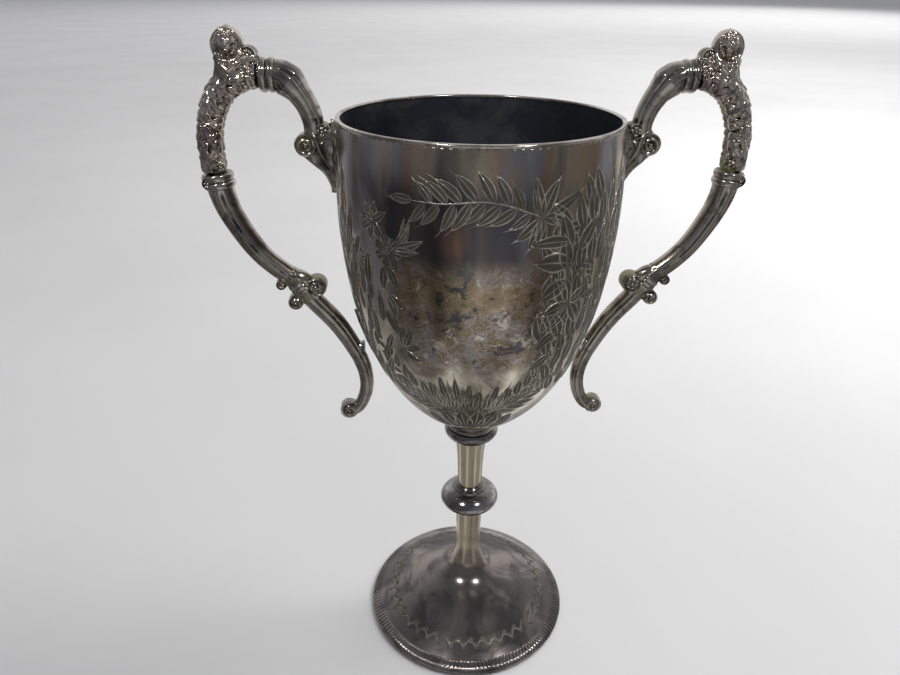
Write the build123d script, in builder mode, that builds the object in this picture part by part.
from build123d import *
from math import cos, pi, sin
import os

# Two-handled presentation cup: a spun goblet on a stem, with cast scroll handles.
# Millimetres, +Z up. The origin is the centre of the face that the foot rests on,
# and the handles lie along +X and -X.

os.makedirs("parts", exist_ok=True)

# ---- driving dimensions ---------------------------------------------------

RIM_HEIGHT = 256.0          # table to the top edge of the bowl
RIM_RADIUS = 55.0
WALL = 1.0                  # spun sheet of the bowl
LIP_DROP = 1.0              # from the top of the rim wire to the lip
WIRE_OVERHANG = 0.5         # of the rim wire, on each side of the wall
WIRE_CROWN = 0.6
WIRE_DEPTH = 1.4

BELLY_RADIUS = 56.8         # widest radius of the bowl
BELLY_HEIGHT = 242.0        # height where the egg curve reaches that radius
EGG_TIP_HEIGHT = 116.7      # where the egg curve would close, below the flat base
EGG_SIDE_POWER = 1.044      # how quickly the egg curve opens
EGG_END_POWER = 0.78        # how blunt its lower end is
BASE_RADIUS = 10.0          # flat disc under the bowl

ROD_RADIUS = 2.5            # M5 tie rod
ROD_CLEARANCE = 0.1
ROD_END = 14.5
FLANGE_RADIUS = 8.0
FLANGE_THICKNESS = 2.5

SEAT_RADIUS = 11.4          # stem mouldings, from the bowl down
SEAT_STEP_RADIUS = 10.4
COLLAR_TOP = 113.3
COLLAR_BOTTOM = 105.5
COLLAR_RADIUS = 12.8
TUBE_TOP_RADIUS = 7.3
TUBE_BOTTOM_RADIUS = 5.95
TUBE_WALL = 1.0
TUBE_BOTTOM = 78.4
CAP_RING_RADIUS = 8.2
KNOP_TOP = 75.6
KNOP_CENTRE = 69.6
KNOP_RADIUS = 14.3
KNOP_BOTTOM = 65.0
KNOP_NECK_RADIUS = 7.2
STEM_TOP = 62.0
STEM_RADIUS = 6.3
SPIGOT_DEPTH = 3.0

FOOT_RADIUS = 51.4
FOOT_WALL = 0.9
FOOT_EDGE_RADIUS = 47.5     # edge of the spun foot, lapped onto the border
FOOT_EDGE_HEIGHT = 3.6
BORDER_INNER_RADIUS = 44.5
BORDER_STEP_HEIGHT = 2.6    # where the foot's edge rests on the border
BORDER_TOP = (46.6, 4.9)

BEAD_COUNT = 18
BEAD_RADIUS = 0.95

WASHER_RADIUS = 9.8
WASHER_BOTTOM = 21.5
WASHER_THICKNESS = 3.5
NUT_FLATS = 8.0
NUT_HEIGHT = 4.0

LEAF_THICKNESS = 2.2        # mounting leaves soldered on the bowl
SOLDER_GAP = 0.05           # between those leaves and the bowl
TENON_RADIUS = 2.6          # round tenons that join the handle castings
TENON_LENGTH = 4.0
HANDLE_COLLAR_LENGTH = 6.0
HANDLE_COLLAR_RADIUS = 6.2
HANDLE_GROOVE_RADIUS = 5.5
HANDLE_BEAD_MARGIN = 0.2    # from the end of the collar to its bead
UPPER_ARM_START = (63.7, 249.5)
VOLUTE_CENTRE = (67.0, 245.0)
VOLUTE_RADIUS = 4.5
UPPER_COLLAR_INNER = (76.0, 270.1)
GRIP_START = (UPPER_COLLAR_INNER[0] + HANDLE_COLLAR_LENGTH, 270.1)
GRIP_END = (102.6, 234.2)
SHOULDER_CENTRE = (85.2, 277.2)
SHOULDER_RADIUS = 3.2
HEAD_CENTRE = (92.1, 281.4)
HEAD_HALF_WIDTH = 4.8
HEAD_HALF_HEIGHT = 5.6
CHEST_HEIGHT = 270.0
CHEST_RADIUS = 6.0
LOWER_ARM_START = (101.9, 228.2)
LOWER_ARM_END = (79.0, 191.0)
TAIL_START = (70.5, 180.6)
ROSETTE_CENTRE = (66.8, 185.6)
ROSETTE_RADIUS = 4.0
KNOT_VOLUTE_CENTRE = (76.6, 179.2)
KNOT_VOLUTE_RADIUS = 2.9
BUD_CENTRE = (82.0, 187.0)
BUD_RADIUS = 2.4
CURL_CENTRE = (57.2, 123.8)
CURL_RADIUS = 4.2
POST_HEIGHT = 156.0
POST_RADIUS = 3.6
UPPER_LEAF = (226.0, 254.4, 8.0)    # bottom, top and half width
LOWER_LEAF = (148.0, 175.0, 6.0)
SPUR_TOP = 252.6
SPUR_BOTTOM = 228.0
SPUR_HALF_WIDTH = 4.0


# ---- helpers --------------------------------------------------------------


def save(part, label):
    """Label one finished piece and write its STEP file."""
    part.label = label
    export_step(part, f"parts/{label}.step")


def egg_point(angle, inset):
    """A point (radius, height) of the bowl's outline, moved inwards by inset."""

    def outline(a):
        radius = BELLY_RADIUS * sin(a) ** EGG_SIDE_POWER
        drop = (BELLY_HEIGHT - EGG_TIP_HEIGHT) * cos(a) ** EGG_END_POWER
        return Vector(radius, BELLY_HEIGHT - drop)

    step = 0.001
    along = (outline(angle + step) - outline(angle - step)).normalized()
    point = outline(angle) + Vector(-along.Y, along.X) * inset
    return (point.X, point.Y)


def bowl_outline(inset):
    """The bowl's curve from its base to its lip, as spline points."""
    first, last, count = 0.188, 1.48, 9
    angles = [first + (last - first) * i / (count - 1) for i in range(count)]
    return [egg_point(a, inset) for a in angles] + [(RIM_RADIUS - inset, RIM_HEIGHT - LIP_DROP)]


def bowl_envelope(inset):
    """The solid that the bowl's outline encloses, moved inwards by inset."""
    curve = bowl_outline(inset)
    with BuildPart() as envelope:
        with BuildSketch(Plane.XZ):
            with BuildLine():
                Spline(*curve)
                Line(curve[-1], (0, curve[-1][1]))
                Line((0, curve[-1][1]), (0, curve[0][1]))
                Line((0, curve[0][1]), curve[0])
            make_face()
        revolve(axis=Axis.Z)
    return envelope.part


def section_plane(path, t):
    """The plane square to a handle's centreline at the fraction t of its length."""
    return Plane(origin=path @ t, x_dir=(0, 1, 0), z_dir=path % t)


def centreline(points, start, end):
    """A handle centreline in the XZ plane, from (x, z) points and end directions."""
    return Spline(
        *[(x, 0, z) for x, z in points],
        tangents=[(start[0], 0, start[1]), (end[0], 0, end[1])],
    )


def swelling_bar(path, radii):
    """A round bar that follows a centreline, its radius going through radii."""
    with BuildPart() as bar:
        for i, radius in enumerate(radii):
            with BuildSketch(section_plane(path, i / (len(radii) - 1))):
                Circle(radius)
        loft()
    return bar.part


def tenon(path, t, length):
    """A round tenon standing out of one end of a centreline, t being 0 or 1."""
    plane = section_plane(path, t)
    direction = 1 if t == 1 else -1
    with BuildPart() as peg:
        with BuildSketch(plane):
            Circle(TENON_RADIUS)
        extrude(amount=direction * length)
    return peg.part


def disc(centre, radius, half_width):
    """A disc across the handle, for a volute or rosette at (x, z)."""
    with BuildPart() as button:
        with BuildSketch(Plane.XZ.offset(-half_width)):
            with Locations(centre):
                Circle(radius)
        extrude(amount=2 * half_width)
        fillet(button.edges().filter_by(GeomType.CIRCLE), radius=0.2 * half_width)
    return button.part


def leaf_on_bowl(bottom, top, half_width):
    """A pointed leaf of even thickness that lies on the side of the bowl."""
    middle = (bottom + top) / 2
    with BuildPart() as leaf:
        with BuildSketch(Plane.YZ):
            with BuildLine():
                ThreePointArc((0, bottom), (half_width, middle), (0, top))
                ThreePointArc((0, top), (-half_width, middle), (0, bottom))
            make_face()
        extrude(amount=BELLY_RADIUS + 10)
        add(bowl_envelope(-LEAF_THICKNESS), mode=Mode.INTERSECT)
        add(bowl_envelope(-SOLDER_GAP), mode=Mode.SUBTRACT)
    return leaf.part


# ---- bowl -----------------------------------------------------------------

outer_curve = bowl_outline(0)
inner_curve = bowl_outline(WALL)
base_height = outer_curve[0][1]
lip_height = outer_curve[-1][1]

with BuildPart() as bowl:
    with BuildSketch(Plane.XZ):
        with BuildLine():
            Spline(*outer_curve)
            Line(outer_curve[-1], inner_curve[-1])
            Spline(*reversed(inner_curve))
            Line(inner_curve[0], (0, inner_curve[0][1]))
            Line((0, inner_curve[0][1]), (0, base_height))
            Line((0, base_height), outer_curve[0])
        make_face()
    revolve(axis=Axis.Z)
save(bowl.part, "bowl")

# Half-round wire that caps the lip: its groove takes the top of the wall.
wire_outer = RIM_RADIUS + WIRE_OVERHANG
wire_inner = RIM_RADIUS - WALL - WIRE_OVERHANG
wire_shoulder = RIM_HEIGHT - WIRE_CROWN
wire_bottom = RIM_HEIGHT - WIRE_DEPTH
with BuildPart() as rim_wire:
    with BuildSketch(Plane.XZ):
        with BuildLine():
            Polyline(
                (wire_outer, wire_shoulder),
                (wire_outer, wire_bottom),
                (wire_inner, wire_bottom),
                (wire_inner, wire_shoulder),
            )
            ThreePointArc(
                (wire_inner, wire_shoulder),
                (RIM_RADIUS - WALL / 2, RIM_HEIGHT),
                (wire_outer, wire_shoulder),
            )
        make_face()
    revolve(axis=Axis.Z)
    add(bowl.part, mode=Mode.SUBTRACT)
save(rim_wire.part, "rim_wire")

# ---- stem, from the bowl down ---------------------------------------------

bore = ROD_RADIUS + ROD_CLEARANCE

with BuildPart() as seat_ring:
    with BuildSketch(Plane.XZ):
        with BuildLine():
            Polyline(
                (bore, COLLAR_TOP),
                (SEAT_RADIUS, COLLAR_TOP),
                (SEAT_RADIUS, COLLAR_TOP + 1.4),
                (SEAT_STEP_RADIUS, COLLAR_TOP + 1.7),
                (SEAT_STEP_RADIUS, COLLAR_TOP + 2.9),
                (SEAT_STEP_RADIUS - 0.8, COLLAR_TOP + 3.3),
                (BASE_RADIUS, base_height),
                (FLANGE_RADIUS, base_height),
                (FLANGE_RADIUS, base_height - FLANGE_THICKNESS),
                (bore, base_height - FLANGE_THICKNESS),
                close=True,
            )
        make_face()
    revolve(axis=Axis.Z)
save(seat_ring.part, "seat_ring")

with BuildPart() as stem_collar:
    with BuildSketch(Plane.XZ):
        with BuildLine():
            Line((bore, COLLAR_BOTTOM + SPIGOT_DEPTH), (bore, COLLAR_TOP))
            Line((bore, COLLAR_TOP), (COLLAR_RADIUS - 0.6, COLLAR_TOP))
            Spline(
                (COLLAR_RADIUS - 0.6, COLLAR_TOP),
                (COLLAR_RADIUS, COLLAR_TOP - 2.2),
                (COLLAR_RADIUS - 1.6, COLLAR_TOP - 5.2),
                (TUBE_TOP_RADIUS + 0.5, COLLAR_BOTTOM),
            )
            Polyline(
                (TUBE_TOP_RADIUS + 0.5, COLLAR_BOTTOM),
                (TUBE_TOP_RADIUS - TUBE_WALL, COLLAR_BOTTOM),
                (TUBE_TOP_RADIUS - TUBE_WALL, COLLAR_BOTTOM + SPIGOT_DEPTH),
                (bore, COLLAR_BOTTOM + SPIGOT_DEPTH),
            )
        make_face()
    revolve(axis=Axis.Z)
save(stem_collar.part, "stem_collar")

# Tapered tube with a spigot at each end, for the collar above and the ring below.
top_spigot = TUBE_TOP_RADIUS - TUBE_WALL
bottom_spigot = TUBE_BOTTOM_RADIUS - TUBE_WALL
with BuildPart() as upper_stem:
    with BuildSketch(Plane.XZ):
        with BuildLine():
            Polyline(
                (TUBE_BOTTOM_RADIUS, TUBE_BOTTOM),
                (bottom_spigot, TUBE_BOTTOM),
                (bottom_spigot, TUBE_BOTTOM - SPIGOT_DEPTH),
                (bottom_spigot - TUBE_WALL, TUBE_BOTTOM - SPIGOT_DEPTH),
                (top_spigot - TUBE_WALL, COLLAR_BOTTOM + SPIGOT_DEPTH),
                (top_spigot, COLLAR_BOTTOM + SPIGOT_DEPTH),
                (top_spigot, COLLAR_BOTTOM),
                (TUBE_TOP_RADIUS, COLLAR_BOTTOM),
            )
            Spline(
                (TUBE_TOP_RADIUS, COLLAR_BOTTOM),
                (6.5, 97.0),
                (6.1, 88.0),
                (TUBE_BOTTOM_RADIUS, TUBE_BOTTOM),
            )
        make_face()
    revolve(axis=Axis.Z)
save(upper_stem.part, "upper_stem")

with BuildPart() as knop_cap_ring:
    with BuildSketch(Plane.XZ):
        with BuildLine():
            Polyline(
                (bottom_spigot, TUBE_BOTTOM),
                (TUBE_BOTTOM_RADIUS + 0.65, TUBE_BOTTOM),
                (CAP_RING_RADIUS - 1.0, TUBE_BOTTOM - 0.6),
                (CAP_RING_RADIUS - 1.2, TUBE_BOTTOM - 1.2),
                (CAP_RING_RADIUS, TUBE_BOTTOM - 1.6),
                (CAP_RING_RADIUS + 0.2, KNOP_TOP),
                (bottom_spigot, KNOP_TOP),
                close=True,
            )
        make_face()
    revolve(axis=Axis.Z)
save(knop_cap_ring.part, "knop_cap_ring")

with BuildPart() as knop:
    with BuildSketch(Plane.XZ):
        with BuildLine():
            Spline(
                (CAP_RING_RADIUS + 0.4, KNOP_TOP),
                (KNOP_RADIUS - 2.7, KNOP_TOP - 1.6),
                (KNOP_RADIUS, KNOP_CENTRE),
                (KNOP_RADIUS - 3.1, KNOP_BOTTOM + 0.9),
                (KNOP_NECK_RADIUS, KNOP_BOTTOM),
            )
            Polyline(
                (KNOP_NECK_RADIUS, KNOP_BOTTOM),
                (bore, KNOP_BOTTOM),
                (bore, TUBE_BOTTOM - SPIGOT_DEPTH),
                (bottom_spigot, TUBE_BOTTOM - SPIGOT_DEPTH),
                (bottom_spigot, KNOP_TOP),
                (CAP_RING_RADIUS + 0.4, KNOP_TOP),
            )
        make_face()
    revolve(axis=Axis.Z)
save(knop.part, "knop")

# Ring of small beads under the knop, with a spigot down into the foot's tube.
with BuildPart() as beaded_ring:
    with BuildSketch(Plane.XY.offset(STEM_TOP)):
        Circle(STEM_RADIUS + 0.2)
        Circle(bore, mode=Mode.SUBTRACT)
    extrude(amount=KNOP_BOTTOM - STEM_TOP)
    with BuildSketch(Plane.XY.offset(STEM_TOP)):
        Circle(STEM_RADIUS - FOOT_WALL)
        Circle(bore, mode=Mode.SUBTRACT)
    extrude(amount=-SPIGOT_DEPTH)
    with Locations((0, 0, (KNOP_BOTTOM + STEM_TOP) / 2)):
        with PolarLocations(STEM_RADIUS + 0.1, BEAD_COUNT):
            Sphere(BEAD_RADIUS)
save(beaded_ring.part, "beaded_ring")

# ---- foot -----------------------------------------------------------------

flare = [(STEM_RADIUS, 46.0), (7.9, 31.5), (12.0, 23.6), (20.5, 18.4), (34.0, 11.2)]
foot_edge = (FOOT_EDGE_RADIUS, FOOT_EDGE_HEIGHT)
inner_flare = [(r - FOOT_WALL, z - FOOT_WALL) for r, z in flare]
inner_edge = (FOOT_EDGE_RADIUS - FOOT_WALL, foot_edge[1] - FOOT_WALL)

with BuildPart() as foot:
    with BuildSketch(Plane.XZ):
        with BuildLine():
            Line((STEM_RADIUS, STEM_TOP), flare[0])
            Spline(*flare, foot_edge, tangents=[(0, -1), (1, -0.62)])
            Line(foot_edge, inner_edge)
            Spline(inner_edge, *reversed(inner_flare), tangents=[(-1, 0.62), (0, 1)])
            Line(inner_flare[0], (inner_flare[0][0], STEM_TOP))
            Line((inner_flare[0][0], STEM_TOP), (STEM_RADIUS, STEM_TOP))
        make_face()
    revolve(axis=Axis.Z)
save(foot.part, "foot")

# Heavy border that the foot's edge is lapped onto, and that the cup stands on.
with BuildPart() as foot_border:
    with BuildSketch(Plane.XZ):
        with BuildLine():
            Polyline(
                (BORDER_INNER_RADIUS, BORDER_STEP_HEIGHT),
                (BORDER_INNER_RADIUS, 0),
                (FOOT_RADIUS - 0.5, 0),
            )
            ThreePointArc((FOOT_RADIUS - 0.5, 0), (FOOT_RADIUS, 1.1), (FOOT_RADIUS - 0.8, 2.4))
            ThreePointArc((FOOT_RADIUS - 0.8, 2.4), (FOOT_RADIUS - 2.4, 4.0), BORDER_TOP)
            Line(BORDER_TOP, (BORDER_INNER_RADIUS, BORDER_STEP_HEIGHT))
        make_face()
    revolve(axis=Axis.Z)
    add(foot.part, mode=Mode.SUBTRACT)
save(foot_border.part.solids().sort_by(SortBy.VOLUME)[-1], "foot_border")

# ---- tie rod, washer and nut that clamp the stem together -----------------

rod_top = base_height - FLANGE_THICKNESS
with BuildPart() as tie_rod:
    with BuildSketch(Plane.XY.offset(ROD_END)):
        Circle(ROD_RADIUS)
    extrude(amount=rod_top - ROD_END)
    with BuildSketch(Plane.XY.offset(rod_top)):
        Circle(FLANGE_RADIUS)
    extrude(amount=FLANGE_THICKNESS)
save(tie_rod.part, "tie_rod")

with BuildPart() as clamp_washer:
    with BuildSketch(Plane.XY.offset(WASHER_BOTTOM)):
        Circle(WASHER_RADIUS)
        Circle(bore, mode=Mode.SUBTRACT)
    extrude(amount=WASHER_THICKNESS)
    add(foot.part, mode=Mode.SUBTRACT)
save(clamp_washer.part.solids().sort_by(SortBy.VOLUME)[-1], "clamp_washer")

with BuildPart() as clamp_nut:
    with BuildSketch(Plane.XY.offset(WASHER_BOTTOM - NUT_HEIGHT)):
        RegularPolygon(radius=NUT_FLATS / 2, side_count=6, major_radius=False)
        Circle(ROD_RADIUS, mode=Mode.SUBTRACT)
    extrude(amount=NUT_HEIGHT)
save(clamp_nut.part, "clamp_nut")

# ---- one handle, on the +X side -------------------------------------------

upper_path = centreline(
    [UPPER_ARM_START, (65.3, 258.5), (70.0, 266.0), UPPER_COLLAR_INNER],
    start=(-0.12, 1),
    end=(1, 0),
)
grip_path = centreline(
    [GRIP_START, (91.5, 268.0), (98.6, 261.0), (102.2, 251.5), (103.1, 243.0), GRIP_END],
    start=(1, 0),
    end=(-0.12, -1),
)
lower_path = centreline(
    [LOWER_ARM_START, (99.6, 219.0), (95.8, 210.8), (88.5, 199.6), LOWER_ARM_END],
    start=(-0.12, -1),
    end=(-1, -0.75),
)
tail_path = centreline(
    [TAIL_START, (60.8, 168.8), (54.2, 157.5), (49.9, 147.0), (48.7, 137.5), (50.6, 129.0), (54.6, 123.5)],
    start=(-0.85, -1),
    end=(1, -0.6),
)

with BuildPart() as upper_arm:
    add(swelling_bar(upper_path, [3.8, 4.3, 5.1, 5.7]))
    add(tenon(upper_path, 0, TENON_LENGTH))
    add(tenon(upper_path, 1, HANDLE_COLLAR_LENGTH + TENON_LENGTH))

with BuildPart() as lower_arm:
    add(swelling_bar(lower_path, [5.2, 4.7, 4.4, 4.2, 4.0]))
    add(tenon(lower_path, 0, HANDLE_COLLAR_LENGTH + TENON_LENGTH))
    add(tenon(lower_path, 1, TENON_LENGTH))

with BuildPart() as tail:
    add(swelling_bar(tail_path, [4.3, 4.2, 4.0, 3.7, 3.4, 3.1, 2.8]))
    add(disc(CURL_CENTRE, CURL_RADIUS, 3.6))
    add(tenon(tail_path, 0, TENON_LENGTH))


def handle_collar(plane):
    """Two beads and the groove between them, threaded on a tenon."""
    half = HANDLE_COLLAR_LENGTH / 2
    with BuildPart() as collar:
        with BuildSketch(plane):
            Circle(HANDLE_GROOVE_RADIUS)
        extrude(amount=HANDLE_COLLAR_LENGTH)
        for start in (HANDLE_BEAD_MARGIN, half + HANDLE_BEAD_MARGIN):
            with BuildSketch(plane.offset(start)):
                Circle(HANDLE_COLLAR_RADIUS)
            extrude(amount=half - 2 * HANDLE_BEAD_MARGIN)
        with BuildSketch(plane):
            Circle(TENON_RADIUS)
        extrude(amount=HANDLE_COLLAR_LENGTH, mode=Mode.SUBTRACT)
    return collar.part


upper_collar = handle_collar(section_plane(upper_path, 1))
lower_collar_plane = section_plane(lower_path, 0)
lower_collar = handle_collar(lower_collar_plane.offset(-HANDLE_COLLAR_LENGTH))

with BuildPart() as grip:
    add(swelling_bar(grip_path, [5.6, 6.4, 5.9, 5.4, 5.4, 5.3]))
    add(disc(SHOULDER_CENTRE, SHOULDER_RADIUS, 3.4))
    add(upper_arm.part, mode=Mode.SUBTRACT)
    add(lower_arm.part, mode=Mode.SUBTRACT)

# Finial: a plain head on a neck, standing on the bend of the grip.
head_x = HEAD_CENTRE[0]
head_top = HEAD_CENTRE[1] + HEAD_HALF_HEIGHT
jaw_point = (head_x + HEAD_HALF_WIDTH * 0.5, HEAD_CENTRE[1] - HEAD_HALF_HEIGHT * sin(pi / 3))
with BuildPart() as bust:
    with BuildSketch(Plane.XZ):
        with BuildLine():
            EllipticalCenterArc(HEAD_CENTRE, HEAD_HALF_WIDTH, HEAD_HALF_HEIGHT, -60, arc_size=150)
            Line((head_x, head_top), (head_x, CHEST_HEIGHT))
            Line((head_x, CHEST_HEIGHT), (head_x + CHEST_RADIUS, CHEST_HEIGHT))
            Spline(
                (head_x + CHEST_RADIUS, CHEST_HEIGHT),
                (head_x + CHEST_RADIUS - 1.8, CHEST_HEIGHT + 3.6),
                jaw_point,
            )
        make_face()
    revolve(axis=Axis((head_x, 0, 0), (0, 0, 1)))
    add(grip.part, mode=Mode.SUBTRACT)

# Scroll knot between the lower arm and the tail.
knot_path = centreline([LOWER_ARM_END, TAIL_START], start=(-1, -0.75), end=(-0.85, -1))
with BuildPart() as scroll_knot:
    add(swelling_bar(knot_path, [4.2, 4.8, 4.5]))
    add(disc(ROSETTE_CENTRE, ROSETTE_RADIUS, 4.6))
    add(disc(KNOT_VOLUTE_CENTRE, KNOT_VOLUTE_RADIUS, 4.2))
    add(disc(BUD_CENTRE, BUD_RADIUS, 3.6))
    add(lower_arm.part, mode=Mode.SUBTRACT)
    add(tail.part, mode=Mode.SUBTRACT)

# Upper bracket: a leaf on the bowl, and a spur that ends in the arm's volute.
spur_root = 50.0
volute_bottom = (VOLUTE_CENTRE[0], VOLUTE_CENTRE[1] - VOLUTE_RADIUS)
arm_seat = (67.4, UPPER_ARM_START[1])
with BuildPart() as upper_bracket:
    with BuildSketch(Plane.XZ.offset(-SPUR_HALF_WIDTH)):
        with BuildLine():
            Polyline((spur_root, SPUR_TOP), (57.8, SPUR_TOP), (59.9, UPPER_ARM_START[1]), arm_seat)
            Line(arm_seat, volute_bottom)
            Spline(volute_bottom, (62.6, 236.0), (59.6, SPUR_BOTTOM))
            Polyline((59.6, SPUR_BOTTOM), (spur_root, SPUR_BOTTOM), (spur_root, SPUR_TOP))
        make_face()
    extrude(amount=2 * SPUR_HALF_WIDTH)
    add(disc(VOLUTE_CENTRE, VOLUTE_RADIUS, 4.8))
    add(bowl_envelope(-SOLDER_GAP), mode=Mode.SUBTRACT)
    add(leaf_on_bowl(*UPPER_LEAF))
    add(upper_arm.part, mode=Mode.SUBTRACT)

# Lower mount: a smaller leaf and the post that carries the tail.
post_root = 30.0
post_tip = 54.0
with BuildPart() as lower_mount:
    with BuildSketch(Plane.YZ.offset(post_root)):
        with Locations((0, POST_HEIGHT)):
            Circle(POST_RADIUS)
    extrude(amount=post_tip - post_root)
    add(bowl_envelope(-SOLDER_GAP), mode=Mode.SUBTRACT)
    add(leaf_on_bowl(*LOWER_LEAF))
    add(tail.part, mode=Mode.SUBTRACT)

handle_pieces = {
    "upper_bracket": upper_bracket.part,
    "upper_arm": upper_arm.part,
    "upper_collar": upper_collar,
    "grip": grip.part,
    "bust": bust.part,
    "lower_collar": lower_collar,
    "lower_arm": lower_arm.part,
    "scroll_knot": scroll_knot.part,
    "tail": tail.part,
    "lower_mount": lower_mount.part,
}
for piece_name, piece in handle_pieces.items():
    save(piece, f"right_{piece_name}")
    save(piece.rotate(Axis.Z, 180), f"left_{piece_name}")
